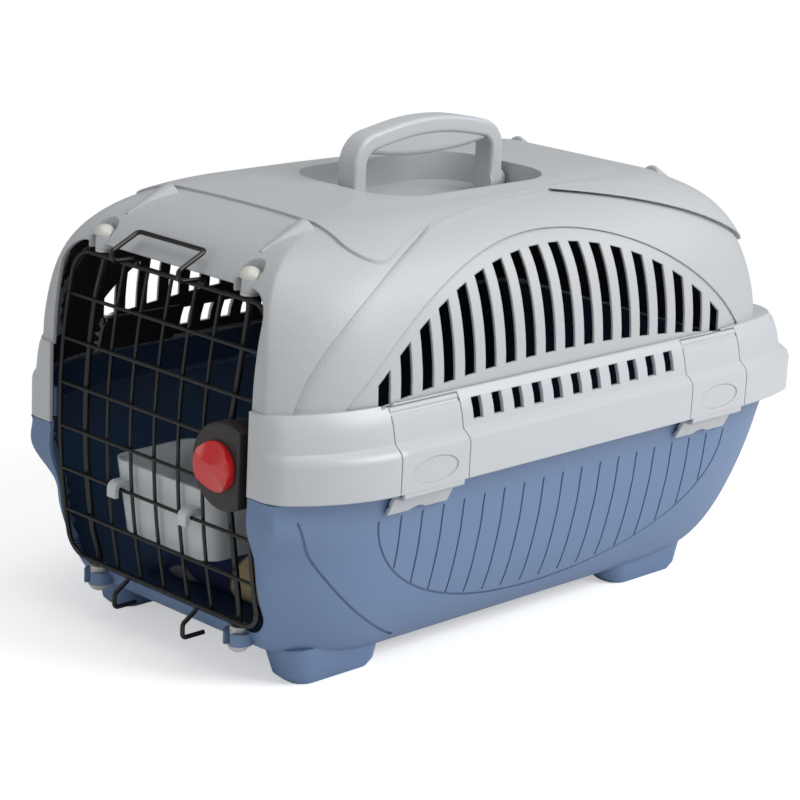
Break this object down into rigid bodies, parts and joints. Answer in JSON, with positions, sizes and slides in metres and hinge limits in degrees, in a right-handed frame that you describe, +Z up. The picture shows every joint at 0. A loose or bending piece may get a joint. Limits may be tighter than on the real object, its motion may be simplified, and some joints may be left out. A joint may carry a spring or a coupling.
{
  "type": "pet carrier",
  "caption": "Two-part plastic pet carrier with a bowed wire door, twist lock, side latches, folding carry handle, vented sides, hanging bowl and floor cushion.",
  "frame": {"origin": "on the floor, under the middle of the overall box", "axes": "+Z up, -Y out of the door, X across the carrier"},
  "size_m": [0.293, 0.4834, 0.3203],
  "materials": {
    "tub_plastic": "satin moulded, dusty blue",
    "roof_plastic": "fine grain, silver grey",
    "latch_plastic": "satin, silver grey",
    "door_wire": "gloss black coating",
    "lock_plastic": "matte charcoal",
    "knob_plastic": "gloss red",
    "bush_plastic": "milky white",
    "pin_steel": "zinc plated",
    "bowl_plastic": "frosted white",
    "cushion_cloth": "printed cotton over soft filling"
  },
  "bodies": {
    "carrier": {"lower_shell": "tub_plastic", "upper_shell": "roof_plastic", "bush_upper_left": "bush_plastic", "bush_upper_right": "bush_plastic", "bush_lower_left": "bush_plastic", "bush_lower_right": "bush_plastic", "handle_pins": "pin_steel", "floor_cushion": "cushion_cloth"},
    "door": {"door_frame": "door_wire", "door_crossbars": "door_wire", "door_uprights": "door_wire", "door_hinge_rod": "door_wire", "door_top_loop": "door_wire", "door_bottom_hooks": "door_wire", "lock_housing": "lock_plastic", "lock_back_plate": "lock_plastic", "lock_screws": "pin_steel"},
    "knob": {"lock_knob": "knob_plastic", "lock_pinion": "bush_plastic"},
    "upper_bolt": {"lock_rod_upper": "door_wire"},
    "lower_bolt": {"lock_rod_lower": "door_wire"},
    "bowl": {"feeding_bowl": "bowl_plastic"},
    "handle": {"carry_handle": "latch_plastic", "handle_grip": "latch_plastic"},
    "front_left_latch": {"latch_front_left": "latch_plastic"},
    "rear_left_latch": {"latch_rear_left": "latch_plastic"},
    "front_right_latch": {"latch_front_right": "latch_plastic"},
    "rear_right_latch": {"latch_rear_right": "latch_plastic"}
  },
  "joints": [
    {"name": "door_hinge", "type": "hinge", "parent": "carrier", "child": "door", "pos_m": [-0.0675, -0.21135, 0.141], "axis": [0, 0, -1], "range_deg": [0, 100]},
    {"name": "knob_turn", "type": "hinge", "parent": "door", "child": "knob", "pos_m": [0.0705, -0.23835, 0.1435], "axis": [0, 1, 0], "range_deg": [0, 47]},
    {"name": "upper_bolt_slide", "type": "slide", "parent": "door", "child": "upper_bolt", "axis": [0, 0, 1], "range_m": [0, 0.0039]},
    {"name": "lower_bolt_slide", "type": "slide", "parent": "door", "child": "lower_bolt", "axis": [0, 0, -1], "range_m": [0, 0.0041]},
    {"name": "bowl_lift", "type": "slide", "parent": "door", "child": "bowl", "axis": [0, 0, 1], "range_m": [0, 0.012]},
    {"name": "handle_fold", "type": "hinge", "parent": "carrier", "child": "handle", "pos_m": [0, -0.00385, 0.2721], "axis": [0, 1, 0], "range_deg": [-80, 80]},
    {"name": "front_left_latch_hinge", "type": "hinge", "parent": "carrier", "child": "front_left_latch", "pos_m": [-0.13125, -0.12885, 0.17814], "axis": [0, 1, 0], "range_deg": [0, 95]},
    {"name": "rear_left_latch_hinge", "type": "hinge", "parent": "carrier", "child": "rear_left_latch", "pos_m": [-0.13125, 0.14015, 0.17814], "axis": [0, 1, 0], "range_deg": [0, 95]},
    {"name": "front_right_latch_hinge", "type": "hinge", "parent": "carrier", "child": "front_right_latch", "pos_m": [0.13125, -0.12885, 0.17814], "axis": [0, -1, 0], "range_deg": [0, 95]},
    {"name": "rear_right_latch_hinge", "type": "hinge", "parent": "carrier", "child": "rear_right_latch", "pos_m": [0.13125, 0.14015, 0.17814], "axis": [0, -1, 0], "range_deg": [0, 95]}
  ],
  "couplings": [
    {"joint": "knob_turn", "follows": "upper_bolt_slide", "rad_per_m": 200},
    {"joint": "lower_bolt_slide", "follows": "upper_bolt_slide", "ratio": 1}
  ]
}
